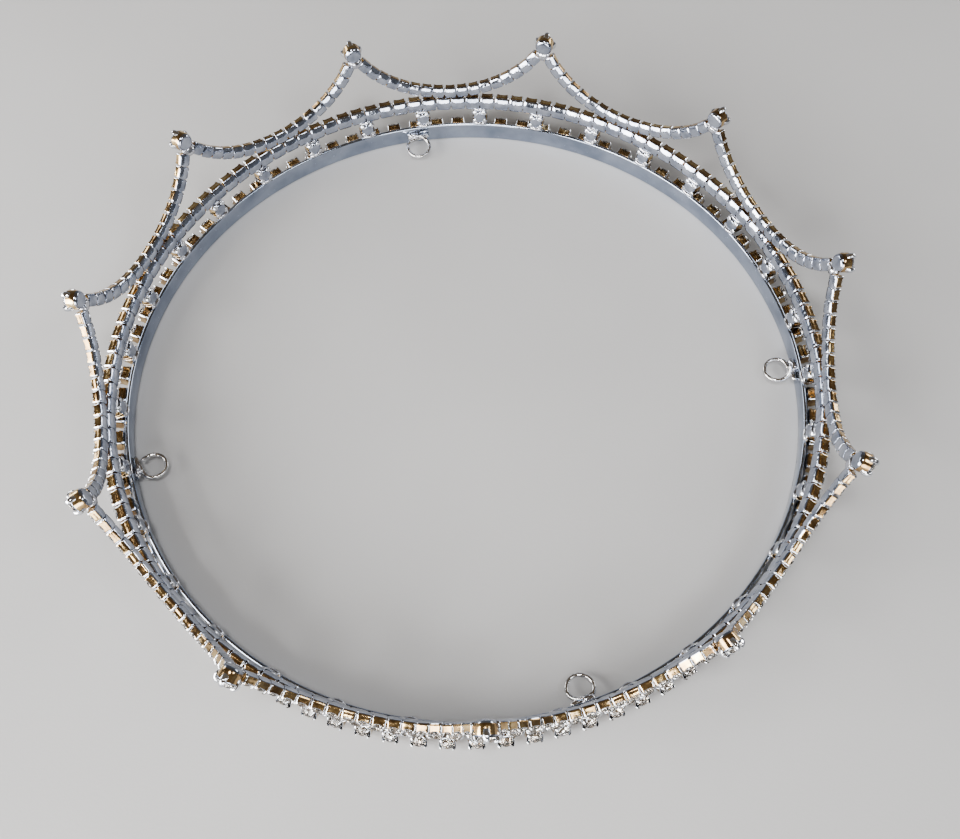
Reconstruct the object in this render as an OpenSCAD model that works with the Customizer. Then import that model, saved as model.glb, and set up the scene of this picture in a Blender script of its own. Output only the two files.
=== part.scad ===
// Round rhinestone crown, worn as a hair ornament.
// A flat metal band stands on edge and carries a spaced row of square stone cups.
// Round settings stand on the band and carry a close-set chain of cups, which carries
// eleven hanging scallops of smaller cups. Two scallops meet under each peak stone.
// Four wire loops inside the band take hair pins.
// Every joint is soldered, so nothing moves.
//
// Frame: +Z up, origin at the centre of the band's lower edge, front towards -Y.
// Millimetres.

/* [Band] */
// Radius of the band's inner face
band_inner_r = 68; // [66:0.5:72]
// Thickness of the band's strip
band_t = 0.8; // [0.6:0.1:1.2]
// Height of the band
band_h = 4.6; // [4:0.1:6]

/* [Rows] */
// Angle of the front peak, counter-clockwise from +X
front_peak_angle = -87.6; // [-100:0.1:-80]
// Height of the base row's middle over the band's lower edge
base_row_z = 1.6; // [1.6:0.1:2.4]
// Upward tilt of the base row's stones, degrees
base_tilt = 18; // [0:1:20]
// Angle from a peak to the next stone of the base row
base_row_phase = 2.9; // [0:0.1:4]
// Stones of the base row in each sector between two peaks
base_per_sector = 8; // [6:1:8]
// Stones of the upper chain in each sector
upper_per_sector = 12; // [10:1:12]
// Stones in each scallop
scallop_cups = 17; // [13:1:17]
// Spacer settings in each sector
spacers_per_sector = 3; // [2:1:4]

/* [Cups] */
// Width of a base row cup
base_cup_w = 3.1; // [2.6:0.1:3.2]
// Width of an upper chain cup
upper_cup_w = 3.1; // [2.6:0.1:3.1]
// Width of a scallop cup
scallop_cup_w = 2.5; // [2.2:0.1:2.5]
// Thickness of a cup's walls
cup_wall = 0.2; // [0.15:0.05:0.3]
// Depth of a square cup as a share of its width
cup_depth_ratio = 0.7; // [0.6:0.05:0.8]

/* [Settings] */
// Diameter of a spacer setting
spacer_d = 3.4; // [3:0.1:3.6]
// Diameter of a peak setting
peak_d = 3.9; // [3.4:0.1:4]
// Depth of a peak setting
peak_depth = 2.6; // [2.2:0.1:3]

/* [Flare] */
// Gap between the band and the upper chain, along the lower slope
spacer_gap = 3.8; // [3.8:0.1:4.4]
// Outward lean of the spacers and the upper chain, degrees from upright
lower_lean = 12.7; // [8:0.1:16]
// Outward lean of the scallops and the peaks, degrees from upright
upper_lean = 13.6; // [10:0.1:18]
// Height of a scallop's ends over its lowest point, along the slope
scallop_rise = 10.4; // [9:0.1:11]
// Height of a peak's centre over a scallop's lowest point, along the slope
peak_rise = 12.45; // [12.4:0.05:13]

/* [Hair pin loops] */
// Diameter of the wire
wire_d = 0.8; // [0.6:0.05:1]
// Radius of the eye, to the wire's centre
eye_r = 2.35; // [2:0.05:2.6]
// Distance of the eye's centre from the band's inner face
eye_offset = 3.5; // [3.4:0.1:4]
// Angle of the right loop
right_loop_angle = 2.5; // [-4:0.5:8]
// Angle of the back loop
back_loop_angle = 99.5; // [94:0.5:104]
// Angle of the left loop
left_loop_angle = 195.5; // [190:0.5:200]
// Angle of the front loop
front_loop_angle = 288; // [284:0.5:294]

/* [Hidden] */
SECTORS = 11;
SECTOR = 360 / SECTORS;
RING_FN = 180;
STONE_FN = 24;
WIRE_FN = 32;
FIT = 0.02;

BASE_COUNT = SECTORS * base_per_sector;
UPPER_COUNT = SECTORS * upper_per_sector;
SPACER_COUNT = SECTORS * spacers_per_sector;

link_t = 0.3;
link_h = 1.0;
cup_floor = 0.4;

// Base row: the tilted cups' upper back edges lie just outside the band
base_back_r = band_inner_r + band_t + 0.05 + base_cup_w / 2 * sin(base_tilt);

// A point on the lower slope, u along it from the band's top inner edge
function low_r(u) = band_inner_r + u * sin(lower_lean);
function low_z(u) = band_h + u * cos(lower_lean);
spacer_u = spacer_gap / 2;
upper_u = spacer_gap + upper_cup_w / 2;

// A point on the upper slope, h along it from the line of the scallops' lowest cups
STACK_GAP = 0.12;
seat_u = spacer_gap + upper_cup_w + STACK_GAP;
high_r0 = low_r(seat_u) + scallop_cup_w / 2 * sin(upper_lean);
high_z0 = low_z(seat_u) + scallop_cup_w / 2 * cos(upper_lean);
function high_r(h) = high_r0 + h * sin(upper_lean);
function high_z(h) = high_z0 + h * cos(upper_lean);

// Half the distance between two peaks along the ring, at height h on the upper slope
function half_sector(h) = high_r(h) * SECTOR / 2 * PI / 180;

// Each scallop is a circular arc on the upper slope. It stops short of the line under the
// peak, so that the corners of two scallops just clear each other there.
SCALLOP_CLEARANCE = 1.2;
arc_half = half_sector(scallop_rise) - SCALLOP_CLEARANCE;
arc_r = (arc_half * arc_half + scallop_rise * scallop_rise) / (2 * scallop_rise);
arc_end = asin(arc_half / arc_r);
function arc_x(a) = arc_r * sin(a);
function arc_h(a) = arc_r * (1 - cos(a));
function arc_turn(a) = arc_x(a) / high_r(arc_h(a)) * 180 / PI;

function peak_angle(i) = front_peak_angle + (i - 1) * SECTOR;
function scallop_angle(i) = peak_angle(i) + SECTOR / 2;
function two_digits(i) = i < 10 ? str("0", i) : str(i);
function numbered(name, i) = str(name, "_", two_digits(i));

// ---- Placing ----
// Local frames have +X out of the crown, +Y counter-clockwise along the ring and +Z up.

module on_band(angle, r, z) {
    rotate([0, 0, angle]) translate([r, 0, z]) children();
}

module on_lower_slope(angle, u) {
    on_band(angle, low_r(u), low_z(u)) rotate([0, lower_lean, 0]) children();
}

module on_upper_slope(angle, h) {
    on_band(angle, high_r(h), high_z(h)) rotate([0, upper_lean, 0]) children();
}

module on_arc(i, a) {
    on_upper_slope(scallop_angle(i) + arc_turn(a), arc_h(a)) rotate([a, 0, 0]) children();
}

// ---- Cups and stones ----

// Square cup with its back on x = 0, open at the front
module square_cup(w) {
    depth = w * cup_depth_ratio;
    inner = w - 2 * cup_wall;
    difference() {
        translate([0, -w / 2, -w / 2]) cube([depth, w, w]);
        translate([cup_floor, -inner / 2, -inner / 2]) cube([depth, inner, inner]);
    }
}

// Round setting with its back on x = 0 and four claws on its rim, turned by claw_turn
module round_setting(d, depth, claw_turn) {
    claw_w = 0.5;
    claw_t = 0.35;
    claw_rise = 0.45;
    difference() {
        rotate([0, 90, 0]) cylinder(d = d, h = depth, $fn = 48);
        translate([cup_floor, 0, 0]) rotate([0, 90, 0])
            cylinder(d = d - 2 * cup_wall, h = depth, $fn = 48);
    }
    for (k = [0:3]) rotate([claw_turn + k * 90, 0, 0])
        translate([depth * 0.45, -claw_w / 2, d / 2 - 0.1])
            cube([depth * 0.55 + claw_rise, claw_w, claw_t]);
}

// Brilliant-cut stone: its point is on the cup's floor and its girdle is level with the rim
module brilliant(d, depth) {
    girdle_h = d * 0.05;
    crown_h = d * 0.2;
    table_r = d * 0.28;
    point_r = d * 0.06;
    low = cup_floor + FIT;
    rotate([0, 90, 0]) rotate_extrude($fn = STONE_FN)
        polygon([[0, low], [point_r, low], [d / 2, depth], [d / 2, depth + girdle_h],
                 [table_r, depth + girdle_h + crown_h], [0, depth + girdle_h + crown_h]]);
}

module square_cup_stone(w) {
    brilliant(w - 2 * cup_wall - 2 * FIT, w * cup_depth_ratio);
}

// ---- Sub-parts ----

module base_band() {
    color("silver") rotate_extrude($fn = RING_FN)
        translate([band_inner_r, 0]) square([band_t, band_h]);
}

module base_row_cups() {
    color("gainsboro") {
        for (k = [0:BASE_COUNT - 1]) at_base(k) square_cup(base_cup_w);
        rotate_extrude($fn = RING_FN)
            translate([base_back_r, base_row_z]) rotate(base_tilt)
                translate([0.05, -link_h / 2]) square([link_t, link_h]);
    }
}

module base_row_stones() {
    color("aliceblue") for (k = [0:BASE_COUNT - 1]) at_base(k) square_cup_stone(base_cup_w);
}

module at_base(k) {
    on_band(front_peak_angle + base_row_phase + k * 360 / BASE_COUNT, base_back_r, base_row_z)
        rotate([0, -base_tilt, 0]) children();
}

module at_spacer(k) {
    on_lower_slope(front_peak_angle + k * 360 / SPACER_COUNT, spacer_u) children();
}

module spacer_settings() {
    color("gainsboro") for (k = [0:SPACER_COUNT - 1]) at_spacer(k)
        round_setting(spacer_d, spacer_d * cup_depth_ratio, 45);
}

module spacer_stones() {
    color("aliceblue") for (k = [0:SPACER_COUNT - 1]) at_spacer(k)
        brilliant(spacer_d - 2 * cup_wall - 2 * FIT, spacer_d * cup_depth_ratio);
}

// Pads of solder under and over each spacer setting
module spacer_solder() {
    pad_l = 0.6;
    pad_w = 1.3;
    pad_h = (spacer_gap - spacer_d) / 2 - 2 * FIT;
    color("lightsteelblue") for (k = [0:SPACER_COUNT - 1]) at_spacer(k) for (side = [-1, 1])
        translate([0.05, -pad_w / 2, side * (spacer_gap / 2 - pad_h / 2 - FIT) - pad_h / 2])
            cube([pad_l, pad_w, pad_h]);
}

module at_upper(k) {
    on_lower_slope(front_peak_angle + (k + 0.5) * 360 / UPPER_COUNT, upper_u) children();
}

module upper_chain_cups() {
    color("gainsboro") {
        for (k = [0:UPPER_COUNT - 1]) at_upper(k) square_cup(upper_cup_w);
        rotate_extrude($fn = RING_FN)
            translate([low_r(upper_u), low_z(upper_u)]) rotate(-lower_lean)
                translate([0.05, -link_h / 2]) square([link_t, link_h]);
    }
}

module upper_chain_stones() {
    color("aliceblue") for (k = [0:UPPER_COUNT - 1]) at_upper(k) square_cup_stone(upper_cup_w);
}

// Angle along the arc of the cup or link at place k, from 0 to scallop_cups - 1
function cup_turn(k) = arc_end * ((2 * k + 1) / scallop_cups - 1);

module scallop_chain(i) {
    link_l = 1.2;
    color("gainsboro") {
        for (k = [0:scallop_cups - 1]) on_arc(i, cup_turn(k)) square_cup(scallop_cup_w);
        for (k = [0:scallop_cups - 2]) on_arc(i, cup_turn(k + 0.5))
            translate([0.05, -link_l / 2, -link_h / 2]) cube([link_t, link_l, link_h]);
    }
}

module scallop_stones(i) {
    color("aliceblue") for (k = [0:scallop_cups - 1]) on_arc(i, cup_turn(k))
        square_cup_stone(scallop_cup_w);
}

module peak_setting(i) {
    color("silver") on_upper_slope(peak_angle(i), peak_rise) round_setting(peak_d, peak_depth, 0);
}

module peak_stone(i) {
    color("aliceblue") on_upper_slope(peak_angle(i), peak_rise)
        brilliant(peak_d - 2 * cup_wall - 2 * FIT, peak_depth);
}

// Three-cornered plate of solder between two scallops' ends and the peak setting over them
module peak_joint() {
    plate_t = 0.9;
    half_w = 1.3;
    end_slope = tan(90 - arc_end);
    end_corner_x = scallop_cup_w / 2 * sin(arc_end);
    end_corner_h = scallop_rise - scallop_cup_w / 2 * cos(arc_end);
    gap = SCALLOP_CLEARANCE - end_corner_x;
    tip = end_corner_h - gap * end_slope + 0.06;
    rotate([90, 0, 90]) difference() {
        translate([0, 0, 0.3]) linear_extrude(plate_t)
            polygon([[0, tip], [half_w, tip + half_w * end_slope], [half_w, peak_rise - 1],
                     [-half_w, peak_rise - 1], [-half_w, tip + half_w * end_slope]]);
        translate([0, peak_rise, 0]) cylinder(d = peak_d + 2 * FIT, h = 3, $fn = 48);
    }
}

module peak_joints() {
    color("lightsteelblue") for (i = [1:SECTORS]) on_upper_slope(peak_angle(i), 0) peak_joint();
}

// Wire loop: a foot along the band, folded back into a leg that runs round an open eye.
// Local frame: +X into the crown from the band's inner face, +Y clockwise along the band.
EYE_START = 222;
EYE_SWEEP = 275;
// The wire is a little thicker where it is folded and a little thinner along the leg
BEND_SWELL = 0.1;
LEG_THINNING = 0.06;
foot_y = 2.4;
foot_x = wire_d / 2 + 0.1;
leg_end = [eye_offset + eye_r * cos(EYE_START), eye_r * sin(EYE_START)];

module wire_run(from, to, d) {
    run = to - from;
    translate([from[0], from[1], 0]) rotate([0, 0, atan2(run[1], run[0])]) rotate([0, 90, 0])
        cylinder(d = d, h = norm(run), $fn = WIRE_FN);
}

module at_loop(angle) {
    on_band(angle, band_inner_r, band_h / 2) rotate([0, 0, 180]) children();
}

module wire_foot() {
    wire_run([foot_x, foot_y], [foot_x, -foot_y * 0.7], wire_d);
}

module wire_leg() {
    wire_run([foot_x, foot_y], leg_end, wire_d - LEG_THINNING);
}

module pin_loop(angle) {
    color("silver") at_loop(angle) {
        translate([eye_offset, 0, 0]) rotate([0, 0, EYE_START])
            rotate_extrude(angle = EYE_SWEEP, $fn = 48) translate([eye_r, 0])
                circle(d = wire_d, $fn = WIRE_FN);
        wire_leg();
        wire_foot();
        for (p = [[foot_x, foot_y], leg_end]) translate([p[0], p[1], 0])
            sphere(d = wire_d + BEND_SWELL, $fn = WIRE_FN);
    }
}

// Solder that holds a loop's foot to the band's inner face
module pin_loop_solder() {
    pool_l = 2.2;
    color("lightsteelblue") for (a = loop_angles()) difference() {
        at_loop(a) translate([0, -0.7, 0]) rotate([90, 0, 0])
            cylinder(r = foot_x + wire_d * 0.7, h = pool_l, center = true, $fn = 32);
        at_loop(a) wire_foot();
        at_loop(a) wire_leg();
        at_loop(a) translate([-4, -4, -4]) cube([4.05, 8, 8]);
    }
}

function loop_angles() = [front_loop_angle, right_loop_angle, back_loop_angle, left_loop_angle];

base_band();
base_row_cups();
base_row_stones();
spacer_settings();
spacer_stones();
spacer_solder();
upper_chain_cups();
upper_chain_stones();
for (i = [1:SECTORS]) {
    scallop_chain(i);
    scallop_stones(i);
    peak_setting(i);
    peak_stone(i);
}
peak_joints();
pin_loop(front_loop_angle);  // pin_loop_front
pin_loop(right_loop_angle);  // pin_loop_right
pin_loop(back_loop_angle);  // pin_loop_back
pin_loop(left_loop_angle);  // pin_loop_left
pin_loop_solder();
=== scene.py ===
"""Looks of a round rhinestone crown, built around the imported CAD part. Every CAD node is
replaced by a detailed piece of the same name, in the same place."""

import math
import random

import bpy
from mathutils import Matrix, Vector, noise


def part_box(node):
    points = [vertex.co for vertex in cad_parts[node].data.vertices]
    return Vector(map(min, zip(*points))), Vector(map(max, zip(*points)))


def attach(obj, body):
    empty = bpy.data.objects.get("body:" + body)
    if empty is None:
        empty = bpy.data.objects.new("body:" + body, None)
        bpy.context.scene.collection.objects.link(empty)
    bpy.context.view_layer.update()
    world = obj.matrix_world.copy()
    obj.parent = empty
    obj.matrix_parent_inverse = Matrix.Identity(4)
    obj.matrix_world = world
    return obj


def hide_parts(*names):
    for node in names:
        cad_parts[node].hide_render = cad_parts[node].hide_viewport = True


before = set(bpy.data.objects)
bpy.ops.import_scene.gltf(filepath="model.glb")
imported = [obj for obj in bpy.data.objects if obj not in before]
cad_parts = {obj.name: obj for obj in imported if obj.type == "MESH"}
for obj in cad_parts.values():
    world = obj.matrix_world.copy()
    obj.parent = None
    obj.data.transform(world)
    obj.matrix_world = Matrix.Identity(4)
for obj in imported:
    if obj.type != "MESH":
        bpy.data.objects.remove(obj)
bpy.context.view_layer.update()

# ---- Driving dimensions, in millimetres and degrees ----
# They repeat the CAD part's, apart from these, which belong to the looks: how deep the link strips
# lie, the stones' points, the wire loops' radius, lap, foot length and bends, and the bends of the
# scallops.

MM = 0.001
BODY = "root"

BAND_WALL = 0.8
BAND_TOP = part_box("base_band")[1]
BAND_HEIGHT = BAND_TOP.z / MM
BAND_OUTER_R = BAND_TOP.x / MM
BAND_INNER_R = BAND_OUTER_R - BAND_WALL

SECTORS = 11
SECTOR = 360 / SECTORS
FRONT_PEAK_ANGLE = -87.6
BASE_COUNT = SECTORS * 8
UPPER_COUNT = SECTORS * 12
SPACER_COUNT = SECTORS * 3
SCALLOP_CUPS = 17
BASE_ROW_PHASE = 2.9
BASE_ROW_Z = 1.6
BASE_TILT = 18

BASE_CUP_W = 3.1
UPPER_CUP_W = 3.1
SCALLOP_CUP_W = 2.5
# Shares of a cup's width
CUP_DEPTH = 0.7
STONE_POINT = 0.14
# Millimetres again
PEAK_STONE_POINT = 0.49
SPACER_D = 3.4
PEAK_D = 3.9
PEAK_DEPTH = 2.6
STONE_PLAY = 0.44

SPACER_GAP = 3.8
LOWER_LEAN = 12.7
UPPER_LEAN = 13.6
SCALLOP_RISE = 10.4
PEAK_RISE = 12.45
SCALLOP_CLEARANCE = 1.2
STACK_GAP = 0.12

LINK_T = 0.3
LINK_X = 0.22
LINK_H = 1.0
LINK_LENGTH = 1.2

WIRE_D = 0.8
EYE_R = 2.5
EYE_START = 222
LAP_START = 235
LAP_RISE = 1.5
FOOT_X = WIRE_D / 2 + 0.1
FOOT_Y = 2.4
FOOT_LENGTH = 4.1
LOOP_ANGLES = {"front": 288, "right": 2.5, "back": 99.5, "left": 195.5}

# How each loop was bent: droop of its eye in degrees, sweep of the eye in degrees, and how far the
# eye's centre lies from the band
LOOP_BENDS = {"front": (14, 305, 3.1), "right": (5, 318, 3.6), "back": (8, 300, 3.4),
              "left": (4, 275, 3.7)}

# Where the scallops have been pressed in or pulled out by handling: angle on the ring, reach to
# either side and change of lean, in degrees
BENDS = [(-88, 36, -4.5), (-55, 24, -4.5), (-22, 18, 4.0), (43, 20, -6.0)]

BASE_BACK_R = BAND_OUTER_R + 0.05 + BASE_CUP_W / 2 * math.sin(math.radians(BASE_TILT))
SPACER_U = SPACER_GAP / 2
UPPER_U = SPACER_GAP + UPPER_CUP_W / 2
SEAT_U = SPACER_GAP + UPPER_CUP_W + STACK_GAP

dice = random.Random(11)


def sin(degrees):
    return math.sin(math.radians(degrees))


def cos(degrees):
    return math.cos(math.radians(degrees))


def smooth_step(t):
    t = min(max(t, 0), 1)
    return t * t * (3 - 2 * t)


def bend(angle):
    """Change of the upper slope's lean at this angle on the ring."""
    total = 0
    for middle, reach, degrees in BENDS:
        away = abs((angle - middle + 180) % 360 - 180)
        total += degrees * smooth_step(1 - away / reach)
    return total


def high_r(h):
    """Radius at height h on the upper slope where the flare is true."""
    foot = BAND_INNER_R + SEAT_U * sin(LOWER_LEAN)
    return foot + (SCALLOP_CUP_W / 2 + h) * sin(UPPER_LEAN)


ARC_HALF = high_r(SCALLOP_RISE) * math.radians(SECTOR / 2) - SCALLOP_CLEARANCE
ARC_R = (ARC_HALF ** 2 + SCALLOP_RISE ** 2) / (2 * SCALLOP_RISE)
ARC_END = math.degrees(math.asin(ARC_HALF / ARC_R))


# ---- Places: local frames have +X out of the crown, +Y counter-clockwise and +Z up ----


def move(x=0.0, y=0.0, z=0.0):
    return Matrix.Translation((x, y, z))


def turn(axis, degrees):
    return Matrix.Rotation(math.radians(degrees), 4, axis)


def on_band(angle, r, z):
    return turn("Z", angle) @ move(r, 0, z)


def on_lower_slope(angle, u):
    return on_band(angle, BAND_INNER_R, BAND_HEIGHT) @ turn("Y", LOWER_LEAN) @ move(z=u)


def on_upper_slope(angle, h):
    fold = on_lower_slope(angle, SEAT_U) @ turn("Y", UPPER_LEAN - LOWER_LEAN + bend(angle))
    return fold @ move(z=SCALLOP_CUP_W / 2 + h)


def peak_angle(i):
    return FRONT_PEAK_ANGLE + (i - 1) * SECTOR


def on_arc(i, a):
    """Place on scallop i, a degrees along its arc from its lowest point."""
    h = ARC_R * (1 - cos(a))
    around = math.degrees(ARC_R * sin(a) / high_r(h))
    return on_upper_slope(peak_angle(i) + SECTOR / 2 + around, h) @ turn("X", a)


def cup_turn(k):
    return ARC_END * ((2 * k + 1) / SCALLOP_CUPS - 1)


def on_base(angle):
    return on_band(angle, BASE_BACK_R, BASE_ROW_Z) @ turn("Y", -BASE_TILT)


def at_base(k):
    return on_base(FRONT_PEAK_ANGLE + BASE_ROW_PHASE + k * 360 / BASE_COUNT)


def at_spacer(k):
    return on_lower_slope(FRONT_PEAK_ANGLE + k * 360 / SPACER_COUNT, SPACER_U)


def at_upper(k):
    return on_lower_slope(FRONT_PEAK_ANGLE + (k + 0.5) * 360 / UPPER_COUNT, UPPER_U)


def at_loop(name):
    return on_band(LOOP_ANGLES[name], BAND_INNER_R, BAND_HEIGHT / 2) @ turn("Z", 180)


def hand_set(w, roll=1.6, slew=1.6, lift=0.03):
    """A small seeded error in how a cup of width w was soldered, turned about its middle."""
    middle = w * CUP_DEPTH / 2
    errors = turn("X", dice.uniform(-roll, roll))
    errors = errors @ turn("Y", dice.uniform(-slew, slew)) @ turn("Z", dice.uniform(-slew, slew))
    shift = move(middle, dice.uniform(-lift, lift), dice.uniform(-lift, lift))
    return shift @ errors @ move(-middle)


# ---- Meshes: points in millimetres, faces, and a finish number for each face ----


class Shape:
    """Collects closed meshes into one piece."""

    def __init__(self):
        self.points = []
        self.faces = []
        self.finishes = []

    def add(self, other, place=None):
        start = len(self.points)
        if place is None:
            self.points += other.points
        else:
            self.points += [place @ p for p in other.points]
        self.faces += [tuple(start + n for n in face) for face in other.faces]
        self.finishes += other.finishes
        return self

    def face(self, corners, finish=0):
        self.faces.append(tuple(corners))
        self.finishes.append(finish)

    def loft(self, rings, finish_of=None, closed=False):
        """Joins rings of points of equal length. Unless closed, both ends close to their middles."""
        count = len(rings[0])
        start = len(self.points)
        for ring in rings:
            self.points += [Vector(p) for p in ring]
        spans = len(rings) if closed else len(rings) - 1
        for r in range(spans):
            here = start + r * count
            there = start + (r + 1) % len(rings) * count
            for n in range(count):
                m = (n + 1) % count
                finish = finish_of(r, n) if finish_of else 0
                self.face((here + n, here + m, there + m, there + n), finish)
        if not closed:
            self.cap(start, count, True, finish_of(0, 0) if finish_of else 0)
            last = start + (len(rings) - 1) * count
            self.cap(last, count, False, finish_of(spans - 1, 0) if finish_of else 0)
        return self

    def cap(self, start, count, flip, finish):
        ring = self.points[start:start + count]
        middle = sum(ring, Vector()) / count
        centre = len(self.points)
        self.points.append(middle)
        for n in range(count):
            a, b = start + n, start + (n + 1) % count
            self.face((centre, b, a) if flip else (centre, a, b), finish)


def rounded_square(half, corner, side_steps=2, arc_steps=6):
    """Outline in the YZ plane with its corners at 45 degrees, and for each point the distance
    along the outline to the nearest corner's middle."""
    outline = []
    flat = half - corner
    arc_length = corner * math.pi / 2
    for quarter in range(4):
        spin = Matrix.Rotation(math.radians(quarter * 90), 2)
        for n in range(side_steps):
            along = flat * n / side_steps
            outline.append((spin @ Vector((half, along)), flat - along + arc_length / 2))
        for n in range(arc_steps):
            a = 90 * n / arc_steps
            point = Vector((flat + corner * cos(a), flat + corner * sin(a)))
            outline.append((spin @ point, abs(a - 45) / 90 * arc_length))
        for n in range(side_steps):
            along = flat * (1 - n / side_steps)
            outline.append((spin @ Vector((along, half)), flat - along + arc_length / 2))
    return outline


# WALL faces get the brown painted reflection, PLATE faces the dark blue-grey painted reflection and CLAW
# faces lighter plain silver.
PLATE, WALL, CLAW = 0, 1, 2


def square_cup(w):
    """Stamped square cup: a back with two sloping borders and rounded edges, thin walls cut low at
    their middles, and a pointed claw at each corner that bends in over the stone."""
    wall = 0.065 * w
    base_x = 0.46 * w
    side_h = 0.19 * w
    claw_h = 0.52 * w
    claw_reach = 0.19 * w
    straight = 0.21 * w
    claw_bend = 74
    lower = [(0.001, 0.10, 0.03), (0.003, 0.19, 0.08), (0.006, 0.34, 0.14), (0.014, 0.435, 0.17),
             (0.038, 0.484, 0.165), (0.085, 0.5, 0.155)]
    flat_half = 0.13 * w
    slope = 0.33
    swell = 0.028
    fractions = [0.0, 0.36, 0.7, 1.0]
    wall_foot = lower[-1][0] * w
    rings = []
    for x, half, corner in lower:
        flat = [p for p, _ in rounded_square(half * w, corner * w)]
        rings.append([Vector((x * w + slope * max(abs(p.y) - flat_half, 0), *p)) for p in flat])
    outline = rounded_square(0.5 * w, 0.155 * w)
    for share in (0.25, 0.6):
        grow = 1 + 2 * swell * sin(180 * share)
        ring = []
        for p, _ in outline:
            foot = wall_foot + slope * max(abs(p.y) - flat_half, 0)
            ring.append(Vector((foot + (base_x - foot) * share, *(p * grow))))
        rings.append(ring)

    def along_claw(point, s, inset):
        """Point at length s up the wall, moved inset into its thickness."""
        over = max(s - straight, 0)
        full = claw_h - straight
        angle = claw_bend * over / full
        x = base_x + min(s, straight) + over * cos(angle / 2)
        inward = over * sin(angle / 2)
        out = point.length
        radial = out - inward - inset * cos(angle)
        return Vector((x - inset * sin(angle), *(point * (radial / out))))

    heights = [side_h + (claw_h - side_h) * smooth_step(1 - d / claw_reach) ** 1.2
               for _, d in outline]
    for fraction in fractions:
        rings.append([along_claw(p, h * fraction, 0) for (p, _), h in zip(outline, heights)])
    rings.append([along_claw(p, h + wall * 0.3, wall / 2) for (p, _), h in zip(outline, heights)])
    for fraction in reversed(fractions[::2]):
        rings.append([along_claw(p, h * fraction, wall) for (p, _), h in zip(outline, heights)])
    inner = rounded_square(0.5 * w - wall, 0.11 * w)
    rings.append([Vector((0.16 * w, *p)) for p, _ in inner])
    floor = rounded_square(0.36 * w, 0.16 * w)
    rings.append([Vector((0.12 * w, *p)) for p, _ in floor])
    count = len(outline)
    first_wall = len(lower) - 2
    last_wall = len(lower) + 4
    quarter = count // 4
    flat_faces = 3

    # Back and bevel rings take the blue-grey painted reflection, the flats of the walls the brown painted
    # reflection, and corners, claws and tops plain silver.
    def finish_of(r, n):
        if r <= first_wall:
            return PLATE
        on_flat = not flat_faces <= n % quarter < quarter - flat_faces
        return WALL if r <= last_wall and on_flat else CLAW

    return Shape().loft(rings, finish_of)


def circle(r, x, count):
    return [Vector((x, r * cos(360 * n / count), r * sin(360 * n / count))) for n in range(count)]


def prong(run, width, thick):
    """Claw along run, points of (x, radius): flat where it leaves the wall, thick and round where
    it is pressed over the stone."""
    points = smooth_path([Vector((x, 0, radius)) for x, radius in run], 2)
    last = len(points) - 1
    rings = []
    for n, point in enumerate(points):
        way = (points[min(n + 1, last)] - points[max(n - 1, 0)]).normalized()
        out = Vector((-way.z, 0, way.x))
        share = n / last
        half_w = width / 2 * (0.8 + 0.2 * smooth_step(share * 3)) * (1 - 0.3 * share ** 3)
        half_t = thick / 2 * (0.4 + 0.6 * smooth_step(share * 2))
        ends = [(0, 1.0)]
        if n == last:
            ends = [(0, 1.0), (0.45, 0.82), (0.7, 0.45)]
        for shift, scale in ends:
            centre = point + way * shift * half_t
            ring = []
            for m in range(12):
                side = half_w * scale * cos(30 * m)
                away = half_t * scale * sin(30 * m)
                ring.append(centre + Vector((0, side, 0)) + out * away)
            rings.append(ring)
    return Shape().loft(rings, lambda ring, n: CLAW)


def round_setting(d, depth, profile, claw, claw_turn):
    """Turned cup with a flat round back and four claws on its rim. The profile is points of
    (share of depth, share of radius), from the back round the rim to the seat."""
    rings = [circle(radius * d / 2, x * depth, 40) for x, radius in profile]
    rim = max(x for x, _ in profile)
    wall_from, wall_to = 0.15, 0.8 * rim

    # Outside faces partway up the wall take the brown painted reflection; back, rim and seat take the
    # blue-grey painted reflection.
    def finish_of(ring, n):
        outside = profile[ring][0] < profile[ring + 1][0]
        return WALL if outside and wall_from < profile[ring][0] < wall_to else PLATE

    cup = Shape().loft(rings, finish_of)
    claws = 4
    for k in range(claws):
        cup.add(claw, turn("X", claw_turn + 360 / claws * k))
    return cup


GLASS, FOIL = 0, 1


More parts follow.
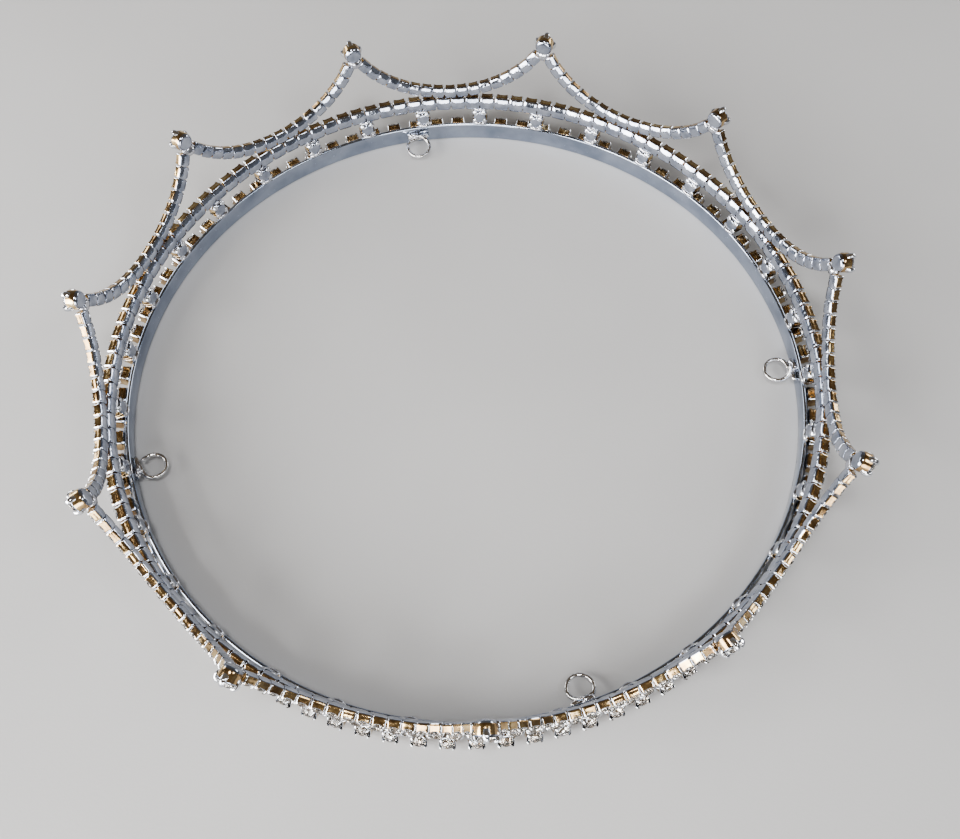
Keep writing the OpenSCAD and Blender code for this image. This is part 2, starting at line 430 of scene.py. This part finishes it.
def chaton(d, girdle_x, point_x):
    """Foil-backed round stone: table, stars, kites and halves over a girdle, and a faceted point."""
    r = d / 2
    sides = 8
    half_step = 180 / sides
    girdle_h = 0.045 * d
    crown_h = 0.2 * d
    table_r = 0.56 * r
    star_r = 0.79 * r
    lower_r = 0.34 * r
    pavilion = girdle_x - point_x
    star_x = girdle_x + girdle_h + crown_h * (r - star_r * cos(half_step)) / (r - table_r)
    lower_x = point_x + pavilion * lower_r * cos(half_step) / r

    def ring(radius, x, phase, count=sides):
        return [Vector((x, radius * cos(360 * n / count + phase), radius * sin(360 * n / count + phase)))
                for n in range(count)]

    stone = Shape()
    table = ring(table_r, girdle_x + girdle_h + crown_h, 0)
    stars = ring(star_r, star_x, half_step)
    upper = ring(r, girdle_x + girdle_h, 0, 2 * sides)
    under = ring(r, girdle_x, 0, 2 * sides)
    lower = ring(lower_r, lower_x, half_step)
    stone.points = table + stars + upper + under + lower + [Vector((point_x, 0, 0))]
    first_star = sides
    first_upper = 2 * sides
    first_under = 4 * sides
    first_lower = 6 * sides
    tip = 7 * sides
    stone.face(range(sides), GLASS)
    for n in range(sides):
        m = (n + 1) % sides
        before = (n - 1) % sides
        star, lower_n = first_star + n, first_lower + n
        g0, g1, g2 = (first_upper + (2 * n + s) % (2 * sides) for s in range(3))
        u0, u1, u2 = (first_under + (2 * n + s) % (2 * sides) for s in range(3))
        stone.face((n, star, m), GLASS)
        stone.face((n, first_star + before, g0, star), GLASS)
        stone.face((star, g0, g1), GLASS)
        stone.face((star, g1, g2), GLASS)
        stone.face((g0, u0, u1, g1), GLASS)
        stone.face((g1, u1, u2, g2), GLASS)
        stone.face((lower_n, u1, u0), FOIL)
        stone.face((lower_n, u2, u1), FOIL)
        stone.face((tip, lower_n, u0, first_lower + before), FOIL)
    return stone


def ring_strip(place_of, thick, height, softness=0.28, segments=396):
    """Thin strip bent to a ring through the places given for each angle, its edges rounded."""
    soft = min(thick, height) * softness
    section = []
    for y_sign, x_sign, start in ((1, 1, 0), (1, -1, 90), (-1, -1, 180), (-1, 1, 270)):
        for step in range(4):
            a = start + 30 * step
            x = thick / 2 + x_sign * (thick / 2 - soft) + soft * cos(a)
            section.append((x, y_sign * (height / 2 - soft) + soft * sin(a)))
    rings = []
    for n in range(segments):
        place = place_of(360 * n / segments)
        rings.append([place @ Vector((x, 0, h)) for x, h in section])
    return Shape().loft(rings, closed=True)


def link_plate():
    """Short strip between two cups of a scallop."""
    rings = []
    for share in (-1, -0.9, 0.9, 1):
        grow = 0.8 if abs(share) == 1 else 1
        ring = []
        for m in range(12):
            a = 30 * m
            x = LINK_T / 2 * (1 + grow * math.copysign(abs(cos(a)) ** 0.4, cos(a)))
            z = LINK_H / 2 * grow * math.copysign(abs(sin(a)) ** 0.4, sin(a))
            ring.append(Vector((LINK_X + x, LINK_LENGTH / 2 * share, z)))
        rings.append(ring)
    return Shape().loft(rings)


def lump(half_x, half_y, half_z, seed, roughness=0.12, squareness=0.8):
    """Frozen drop of solder: a soft ellipsoid with a seeded uneven skin."""
    rings = []
    rows, count = 9, 16
    offset = Vector((seed * 3.7, seed * 1.3, seed * 2.1))
    for row in range(rows):
        lat = -84 + 168 * row / (rows - 1)
        ring = []
        for n in range(count):
            a = 360 * n / count
            way = Vector((cos(lat) * cos(a), sin(lat), cos(lat) * sin(a)))
            shaped = Vector(math.copysign(abs(c) ** squareness, c) for c in way)
            swell = 1 + roughness * noise.noise(way * 1.3 + offset)
            ring.append(Vector((shaped.x * half_x, shaped.y * half_y, shaped.z * half_z)) * swell)
        rings.append(ring)
    return Shape().loft(rings)


def meniscus(seed, middle_x, swell):
    """Solder drawn by surface tension into the notch between a flat edge below and the round
    setting above. Its underside is a little under z = 0."""
    gap = SPACER_GAP / 2
    back_r = 1.36
    reach = 1.55 + 0.35 * noise.noise(Vector((seed, 0.5, 0.5)))
    skew = 0.35 * noise.noise(Vector((seed, 3.5, 0.5)))
    rings = []
    steps = 13
    for row in range(steps):
        share = -0.98 + 1.96 * row / (steps - 1)
        y = share * reach
        round_up = gap - math.sqrt(back_r ** 2 - min(abs(y), back_r * 0.97) ** 2)
        fade = (1 - share ** 2) ** 0.5
        top = min(round_up + 0.22, 1.1 + 0.15 * noise.noise(Vector((seed, y, 7.5)))) * fade + 0.02
        bulge = (swell + 0.14 * noise.noise(Vector((seed, y, 1.5)))) * fade ** 0.7 + 0.02
        ring = []
        for n in range(14):
            a = 360 * n / 14
            ring.append(Vector((middle_x + bulge * cos(a), y + skew, top * (0.42 + 0.62 * sin(a)))))
        rings.append(ring)
    return Shape().loft(rings)


def joint_plate(seed):
    """Three-cornered solder plate, slightly domed, between two scallops' ends and their peak."""
    end_slope = math.tan(math.radians(90 - ARC_END))
    corner_x = SCALLOP_CUP_W / 2 * sin(ARC_END)
    corner_h = SCALLOP_RISE - SCALLOP_CUP_W / 2 * cos(ARC_END)
    tip = corner_h - (SCALLOP_CLEARANCE - corner_x) * end_slope + 0.06
    half_w = 1.55
    corners = [Vector((0, tip - 0.15)), Vector((half_w, tip + 1.3 * end_slope)),
               Vector((half_w * 0.95, PEAK_RISE - 1.2)), Vector((-half_w * 0.95, PEAK_RISE - 1.2)),
               Vector((-half_w, tip + 1.3 * end_slope))]
    outline = rounded_corners(corners, 0.3)
    middle = sum(outline, Vector((0, 0))) / len(outline)
    back, front = 0.16, 1.2
    levels = [(back, 0.55), (back + 0.02, 0.8), (back + 0.1, 0.94), (back + 0.28, 1.0),
              (front - 0.25, 1.0), (front - 0.06, 0.9), (front, 0.7)]
    rings = []
    for x, scale in levels:
        ring = []
        for p in outline:
            q = middle + (p - middle) * scale
            uneven = 0.05 * noise.noise(Vector((q.x + seed, q.y, x)))
            ring.append(Vector((x + uneven, q.x, q.y)))
        rings.append(ring)
    return Shape().loft(rings)


def rounded_corners(corners, radius, steps=4):
    """Closed outline with each corner replaced by a short curve."""
    outline = []
    for n, corner in enumerate(corners):
        to_last = (corners[n - 1] - corner).normalized() * radius
        to_next = (corners[(n + 1) % len(corners)] - corner).normalized() * radius
        for step in range(steps + 1):
            t = step / steps
            outline.append(corner + to_last * (1 - t) ** 2 + to_next * t ** 2)
    return outline


def smooth_path(points, passes=3):
    """Cuts the corners of an open path again and again, so that it runs in soft curves."""
    for _ in range(passes):
        cut = [points[0]]
        for a, b in zip(points, points[1:]):
            cut += [a.lerp(b, 0.25), a.lerp(b, 0.75)]
        cut.append(points[-1])
        points = cut
    return points


def wire(path, d, count=16):
    """Round wire along a path, with its ends nipped off round."""
    r = d / 2
    rings = []
    last = len(path) - 1
    side = Vector((0, 0, 1))
    for n, point in enumerate(path):
        way = (path[min(n + 1, last)] - path[max(n - 1, 0)]).normalized()
        across = way.cross(side).normalized()
        up = across.cross(way)
        ends = [(0, 1.0)]
        if n == 0:
            ends = [(-0.5, 0.5), (-0.3, 0.85), (0, 1.0)]
        if n == last:
            ends = [(0, 1.0), (0.3, 0.85), (0.5, 0.5)]
        for shift, scale in ends:
            centre = point + way * shift * r
            rings.append([centre + (across * cos(360 * m / count) + up * sin(360 * m / count)) * r * scale
                          for m in range(count)])
    return Shape().loft(rings)


# ---- Materials ----


class Material:
    """A material and short ways to add and join its nodes."""

    def __init__(self, name):
        self.material = bpy.data.materials.new(name)
        self.material.use_nodes = True
        self.nodes = self.material.node_tree.nodes
        self.links = self.material.node_tree.links
        self.shader = self.nodes["Principled BSDF"]
        self.where = self.nodes.new("ShaderNodeTexCoord").outputs["Object"]

    def set(self, **values):
        for name, value in values.items():
            self.shader.inputs[name.replace("_", " ")].default_value = value

    def noise(self, scale, detail=3.0, roughness=0.55, stretch=None):
        """Noise pattern with scale features for each metre."""
        pattern = self.nodes.new("ShaderNodeTexNoise")
        pattern.inputs["Scale"].default_value = scale
        pattern.inputs["Detail"].default_value = detail
        pattern.inputs["Roughness"].default_value = roughness
        source = self.where
        if stretch:
            mapping = self.nodes.new("ShaderNodeMapping")
            mapping.inputs["Scale"].default_value = stretch
            self.links.new(source, mapping.inputs["Vector"])
            source = mapping.outputs["Vector"]
        self.links.new(source, pattern.inputs["Vector"])
        return pattern.outputs["Fac"]

    def ramp(self, fac, stops):
        """Colour or grey level by stops of (place, colour)."""
        ramp = self.nodes.new("ShaderNodeValToRGB")
        elements = ramp.color_ramp.elements
        while len(elements) < len(stops):
            elements.new(0.5)
        for element, (place, colour) in zip(elements, stops):
            element.position = place
            element.color = (*colour, 1) if isinstance(colour, tuple) else (colour,) * 3 + (1,)
        self.links.new(fac, ramp.inputs["Fac"])
        return ramp.outputs["Color"]

    def colour(self, output):
        self.links.new(output, self.shader.inputs["Base Color"])

    def gloss(self, output):
        self.links.new(output, self.shader.inputs["Roughness"])

    def bump(self, *layers):
        """Layers of (pattern, depth in metres)."""
        normal = None
        for pattern, depth in layers:
            bump = self.nodes.new("ShaderNodeBump")
            bump.inputs["Strength"].default_value = 1.0
            bump.inputs["Distance"].default_value = depth
            self.links.new(pattern, bump.inputs["Height"])
            if normal:
                self.links.new(normal, bump.inputs["Normal"])
            normal = bump.outputs["Normal"]
        self.links.new(normal, self.shader.inputs["Normal"])


def silver(name, bright, dull, gloss, texture_scale, bump_depth):
    """Plated metal whose tint wanders between bright and dull."""
    m = Material(name)
    m.set(Metallic=1.0)
    cloud = m.noise(texture_scale, detail=4)
    m.colour(m.ramp(cloud, [(0.3, dull), (0.62, bright)]))
    m.gloss(m.ramp(m.noise(texture_scale * 4, detail=3), [(0.3, gloss[0]), (0.75, gloss[1])]))
    m.bump((m.noise(texture_scale * 2.2, detail=2), bump_depth))
    return m.material


def band_silver_painted_reflection():
    """Mirror-bright strip with faint rolling lines along it and small spots; its dark blue-grey tint is
    painted reflection of dark, bluish surroundings.
    """
    m = Material("band_silver_painted_reflection")
    m.set(Metallic=1.0)
    cloud = m.noise(140, detail=4)
    m.colour(m.ramp(cloud, [(0.3, (0.27, 0.31, 0.39)), (0.65, (0.42, 0.465, 0.55))]))
    spots = m.noise(1500, detail=2)
    m.gloss(m.ramp(spots, [(0.35, 0.05), (0.62, 0.09), (0.74, 0.3)]))
    lines = m.noise(900, detail=3, stretch=(0.12, 0.12, 3.0))
    m.bump((lines, 0.000004), (m.noise(160, detail=1), 0.00006))
    return m.material


def crystal():
    m = Material("crystal")
    m.set(IOR=1.57, Transmission_Weight=1.0)
    m.colour(m.ramp(m.noise(260, detail=2), [(0.35, (0.93, 0.95, 0.97)), (0.65, (1.0, 0.99, 0.97))]))
    m.gloss(m.ramp(m.noise(900, detail=2), [(0.4, 0.0), (0.75, 0.03)]))
    return m.material


def foil():
    m = Material("crystal_foil")
    m.set(Metallic=1.0)
    m.colour(m.ramp(m.noise(420, detail=3), [(0.32, (0.66, 0.58, 0.50)), (0.6, (0.95, 0.94, 0.93))]))
    m.gloss(m.ramp(m.noise(1500, detail=2), [(0.4, 0.04), (0.75, 0.14)]))
    return m.material


def wall_silver_painted_reflection():
    """Side walls of the cups: silver painted brown with amber patches, a painted reflection of a warm,
    dark room overhead.
    """
    m = Material("cup_wall")
    m.set(Metallic=1.0)
    tint = m.noise(230, detail=3, roughness=0.65)
    m.colour(m.ramp(tint, [(0.30, (0.26, 0.165, 0.085)), (0.48, (0.46, 0.325, 0.18)),
                           (0.62, (0.70, 0.53, 0.29)), (0.76, (0.92, 0.83, 0.60))]))
    m.gloss(m.ramp(m.noise(1400, detail=3), [(0.35, 0.1), (0.7, 0.24)]))
    m.bump((m.noise(700, detail=2), 0.00004))
    return m.material


def floor_paper():
    m = Material("pale_floor")
    m.colour(m.ramp(m.noise(9, detail=3), [(0.3, (0.47, 0.47, 0.475)), (0.7, (0.51, 0.51, 0.515))]))
    m.gloss(m.ramp(m.noise(40, detail=3), [(0.3, 0.55), (0.7, 0.7)]))
    m.bump((m.noise(1600, detail=3), 0.00002))
    return m.material


FINISH = {
    "band": band_silver_painted_reflection(),
    # Plate and setting tints: dark blue-grey, painted reflection of dark, bluish surroundings on the cup
    # backs and setting discs, over a random tone.
    "plate": silver("cup_plate", (0.50, 0.53, 0.60), (0.27, 0.30, 0.37), (0.05, 0.16), 420, 0.00005),
    "setting": silver("setting_plate", (0.46, 0.49, 0.56), (0.27, 0.30, 0.37), (0.04, 0.14), 480, 0.00004),
    # The walls' brown and amber colour is painted reflection of a warm, dark room overhead.
    "wall": wall_silver_painted_reflection(),
    "claw": silver("claw", (0.80, 0.82, 0.86), (0.56, 0.58, 0.62), (0.07, 0.18), 700, 0.00003),
    "solder": silver("solder", (0.66, 0.67, 0.71), (0.42, 0.43, 0.47), (0.10, 0.22), 700, 0.00003),
    "wire": silver("wire", (0.78, 0.78, 0.79), (0.50, 0.49, 0.48), (0.08, 0.22), 800, 0.00004),
    "crystal": crystal(),
    "foil": foil(),
}


# ---- Pieces ----


def finish_piece(name, shape, finishes, crease=32):
    """Makes the piece that stands for the CAD node of the same name."""
    mesh = bpy.data.meshes.new(name)
    mesh.from_pydata([p * MM for p in shape.points], [], shape.faces)
    for finish in finishes:
        mesh.materials.append(FINISH[finish])
    mesh.polygons.foreach_set("material_index", shape.finishes)
    mesh.polygons.foreach_set("use_smooth", [crease > 0] * len(shape.faces))
    mesh.update()
    if crease > 0:
        mesh.set_sharp_from_angle(angle=math.radians(crease))
    piece = bpy.data.objects.new(name, mesh)
    bpy.context.scene.collection.objects.link(piece)
    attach(piece, BODY)
    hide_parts(name)


def cups_and_stones(cups_name, stones_name, w, places, links, jitter):
    """A row of square cups on its links, and the stones in it."""
    cup = square_cup(w)
    stone = chaton(w - STONE_PLAY, w * CUP_DEPTH, w * STONE_POINT)
    cups = Shape().add(links)
    stones = Shape()
    for place in places:
        settled = place @ hand_set(w, *jitter)
        cups.add(cup, settled)
        stones.add(stone, settled @ turn("X", dice.uniform(0, 45)))
    finish_piece(cups_name, cups, ["plate", "wall", "claw"])
    finish_piece(stones_name, stones, ["crystal", "foil"], crease=0)


def base_band():
    band = ring_strip(lambda angle: on_band(angle, BAND_INNER_R, BAND_HEIGHT / 2), BAND_WALL,
                      BAND_HEIGHT, softness=0.47)
    finish_piece("base_band", band, ["band"])


def base_row():
    strip = ring_strip(lambda angle: on_base(angle) @ move(LINK_X), LINK_T, LINK_H)
    places = [at_base(k) for k in range(BASE_COUNT)]
    cups_and_stones("base_row_cups", "base_row_stones", BASE_CUP_W, places, strip, (3.0, 1.5, 0.06))


def upper_chain():
    strip = ring_strip(lambda angle: on_lower_slope(angle, UPPER_U) @ move(LINK_X), LINK_T, LINK_H)
    places = [at_upper(k) for k in range(UPPER_COUNT)]
    cups_and_stones("upper_chain_cups", "upper_chain_stones", UPPER_CUP_W, places, strip,
                    (1.4, 1.2, 0.03))


def scallops():
    link = link_plate()
    for i in range(1, SECTORS + 1):
        links = Shape()
        for k in range(SCALLOP_CUPS - 1):
            links.add(link, on_arc(i, cup_turn(k + 0.5)))
        places = [on_arc(i, cup_turn(k)) for k in range(SCALLOP_CUPS)]
        cups_and_stones(f"scallop_chain_{i:02d}", f"scallop_stones_{i:02d}", SCALLOP_CUP_W, places,
                        links, (1.6, 1.6, 0.03))


def spacers():
    profile = [(0.002, 0.30), (0.006, 0.55), (0.02, 0.64), (0.06, 0.715), (0.12, 0.79), (0.19, 0.86),
               (0.27, 0.905), (0.45, 0.95), (0.7, 0.99), (0.9, 1.02), (0.965, 1.01), (0.965, 0.96),
               (0.9, 0.93), (0.5, 0.84), (0.2, 0.6)]
    claw = prong([(0.16, 0.85), (0.14, 1.35), (0.22, 1.72), (0.75, 1.93), (1.45, 1.93), (2.15, 1.95),
                  (2.62, 1.88), (2.86, 1.60), (2.98, 1.22)], 1.15, 0.5)
    setting = round_setting(SPACER_D, SPACER_D * CUP_DEPTH, profile, claw, 45)
    stone = chaton(SPACER_D - STONE_PLAY, SPACER_D * CUP_DEPTH, SPACER_D * STONE_POINT)
    settings, stones, solder = Shape(), Shape(), Shape()
    sink = 0.05
    for k in range(SPACER_COUNT):
        settled = at_spacer(k) @ hand_set(SPACER_D, 5, 2.0, 0.04)
        settings.add(setting, settled)
        stones.add(stone, settled @ turn("X", dice.uniform(0, 45)))
        to_edge = move(z=-SPACER_U - sink)
        solder.add(meniscus(2 * k, 0.46, 0.70), at_spacer(k) @ to_edge)
        upside_down = at_spacer(k) @ turn("X", 180) @ to_edge
        solder.add(meniscus(2 * k + 1, 0.95, 0.60), upside_down)
    finish_piece("spacer_settings", settings, ["setting", "wall", "claw"])
    finish_piece("spacer_stones", stones, ["crystal", "foil"], crease=0)
    finish_piece("spacer_solder", solder, ["solder"], crease=60)


def peaks():
    profile = [(0.002, 0.30), (0.006, 0.58), (0.016, 0.655), (0.045, 0.74), (0.09, 0.81),
               (0.15, 0.87), (0.22, 0.915), (0.32, 0.95), (0.45, 0.97), (0.60, 0.98), (0.75, 0.985),
               (0.88, 1.0), (0.94, 1.0), (0.965, 0.98), (0.965, 0.94), (0.9, 0.91), (0.5, 0.80),
               (0.2, 0.58)]
    claw = prong([(1.35, 1.72), (1.80, 1.90), (2.25, 2.00), (2.72, 2.00), (3.08, 1.80), (3.26, 1.45)],
                 1.15, 0.86)
    setting = round_setting(PEAK_D, PEAK_DEPTH, profile, claw, 0)
    stone = chaton(PEAK_D - STONE_PLAY, PEAK_DEPTH, PEAK_STONE_POINT)
    joints = Shape()
    drop_below_peak = 2.15
    drop_x = 0.55
    for i in range(1, SECTORS + 1):
        settled = on_upper_slope(peak_angle(i), PEAK_RISE) @ hand_set(PEAK_D, 6, 2.5, 0.05)
        finish_piece(f"peak_setting_{i:02d}", Shape().add(setting, settled),
                     ["setting", "wall", "claw"])
        turned = settled @ turn("X", dice.uniform(0, 45))
        finish_piece(f"peak_stone_{i:02d}", Shape().add(stone, turned),
                     ["crystal", "foil"], crease=0)
        joints.add(joint_plate(i), on_upper_slope(peak_angle(i), 0))
        joints.add(lump(0.72, 1.18, 0.95, i, roughness=0.3),
                   on_upper_slope(peak_angle(i), PEAK_RISE - drop_below_peak) @ move(drop_x))
    finish_piece("peak_joints", joints, ["solder"], crease=50)


def pin_loops():
    eye_step = 7.5
    solder = Shape()
    for seed, (name, (droop, sweep, offset)) in enumerate(LOOP_BENDS.items()):
        tilt = move(FOOT_X) @ turn("Y", droop) @ move(-FOOT_X)
        steps = round(sweep / eye_step)
        eye = []
        for n in range(steps, -1, -1):
            a = EYE_START + n * eye_step
            rise = LAP_RISE * smooth_step((n * eye_step - LAP_START) / (360 - LAP_START))
            eye.append(tilt @ Vector((offset + EYE_R * cos(a), EYE_R * sin(a), rise)))
        fold = [Vector((FOOT_X + 0.34, FOOT_Y - 1.2, 0)), Vector((FOOT_X + 0.14, FOOT_Y + 0.1, 0)),
                Vector((FOOT_X - 0.1, FOOT_Y + 0.1, 0)), Vector((FOOT_X, FOOT_Y - 1.0, 0)),
                Vector((FOOT_X, FOOT_Y - FOOT_LENGTH, 0))]
        loop = wire(smooth_path(eye + fold), WIRE_D)
        finish_piece(f"pin_loop_{name}", Shape().add(loop, at_loop(name)), ["wire"], crease=60)
        pool = lump(1.0, 1.35, 0.95, seed + 1, roughness=0.5)
        solder.add(pool, at_loop(name) @ move(0.15, -0.7, 0.1))
        bead = lump(0.55, 0.7, 0.5, seed + 9, roughness=0.5)
        solder.add(bead, at_loop(name) @ move(0.75, -0.1, 0.55))
    finish_piece("pin_loop_solder", solder, ["solder"], crease=60)


# ---- Stage, lights and camera ----


def floor():
    size = 12.0
    mesh = bpy.data.meshes.new("floor")
    corners = [(-size, -size, 0), (size, -size, 0), (size, size, 0), (-size, size, 0)]
    mesh.from_pydata(corners, [], [(0, 1, 2, 3)])
    mesh.materials.append(floor_paper())
    plane = bpy.data.objects.new("floor", mesh)
    bpy.context.scene.collection.objects.link(plane)


def area_light(name, azimuth, elevation, distance, size, power, colour=(1, 1, 1)):
    """Soft light aimed at the crown. Azimuth 0 is in front (-Y) and 90 is to the right."""
    light = bpy.data.lights.new(name, "AREA")
    light.shape = "RECTANGLE"
    light.size, light.size_y = size
    light.energy = power
    light.color = colour
    lamp = bpy.data.objects.new(name, light)
    way = Vector((sin(azimuth) * cos(elevation), -cos(azimuth) * cos(elevation), sin(elevation)))
    lamp.location = way * distance
    lamp.rotation_euler = way.to_track_quat("Z", "Y").to_euler()
    bpy.context.scene.collection.objects.link(lamp)


def studio():
    """Dim surroundings, warm and darker overhead, soft panels low down all round, a high fill light
    and a small light overhead."""
    world = bpy.data.worlds.new("studio")
    bpy.context.scene.world = world
    world.use_nodes = True
    nodes, links = world.node_tree.nodes, world.node_tree.links
    where = nodes.new("ShaderNodeTexCoord")
    split = nodes.new("ShaderNodeSeparateXYZ")
    ramp = nodes.new("ShaderNodeValToRGB")
    stops = [(0.0, (0.10, 0.097, 0.094)), (0.12, (0.20, 0.203, 0.212)), (0.38, (0.20, 0.20, 0.205)),
             (0.52, (0.16, 0.15, 0.14)), (0.70, (0.15, 0.125, 0.095)), (1.0, (0.14, 0.11, 0.08))]
    elements = ramp.color_ramp.elements
    while len(elements) < len(stops):
        elements.new(0.5)
    for element, (place, colour) in zip(elements, stops):
        element.position = place
        element.color = (*colour, 1)
    links.new(where.outputs["Generated"], split.inputs["Vector"])
    links.new(split.outputs["Z"], ramp.inputs["Fac"])
    links.new(ramp.outputs["Color"], nodes["Background"].inputs["Color"])
    nodes["Background"].inputs["Strength"].default_value = 1.0
    slightly_warm = (1.0, 0.98, 0.95)
    slightly_cool = (0.93, 0.96, 1.0)
    area_light("key", -60, 22, distance=0.85, size=(0.95, 0.52), power=17.5, colour=slightly_warm)
    area_light("front", 4, 18, distance=0.90, size=(0.62, 0.46), power=5.5)
    area_light("top", -14, 77, distance=0.80, size=(0.15, 0.15), power=1.8)
    area_light("fill", 64, 54, distance=0.80, size=(0.28, 0.22), power=1.2, colour=slightly_cool)
    area_light("back_left", -125, 14, distance=0.90, size=(0.40, 0.20), power=1.4)
    area_light("back_right", 125, 14, distance=0.90, size=(0.40, 0.20), power=1.4)
    view = bpy.context.scene.view_settings
    view.look = "AgX - Medium High Contrast"


def camera():
    """Seen from the front and well above, as the crown lies before a person who stands."""
    data = bpy.data.cameras.new("camera")
    data.lens = 39.165
    data.sensor_width = 36.0
    data.clip_start = 0.005
    camera_object = bpy.data.objects.new("camera", data)
    look_at = Vector((2.78, -6.8, 0)) * MM
    distance = 213.6 * MM
    elevation = 63.08
    roll = 0.76
    back = Vector((0, -cos(elevation), sin(elevation)))
    facing = back.to_track_quat("Z", "Y").to_matrix().to_4x4()
    place = Matrix.Translation(look_at + back * distance)
    camera_object.matrix_world = place @ facing @ turn("Z", -roll)
    bpy.context.scene.collection.objects.link(camera_object)
    bpy.context.scene.camera = camera_object


camera()
base_band()
base_row()
upper_chain()
scallops()
spacers()
peaks()
pin_loops()
floor()
studio()
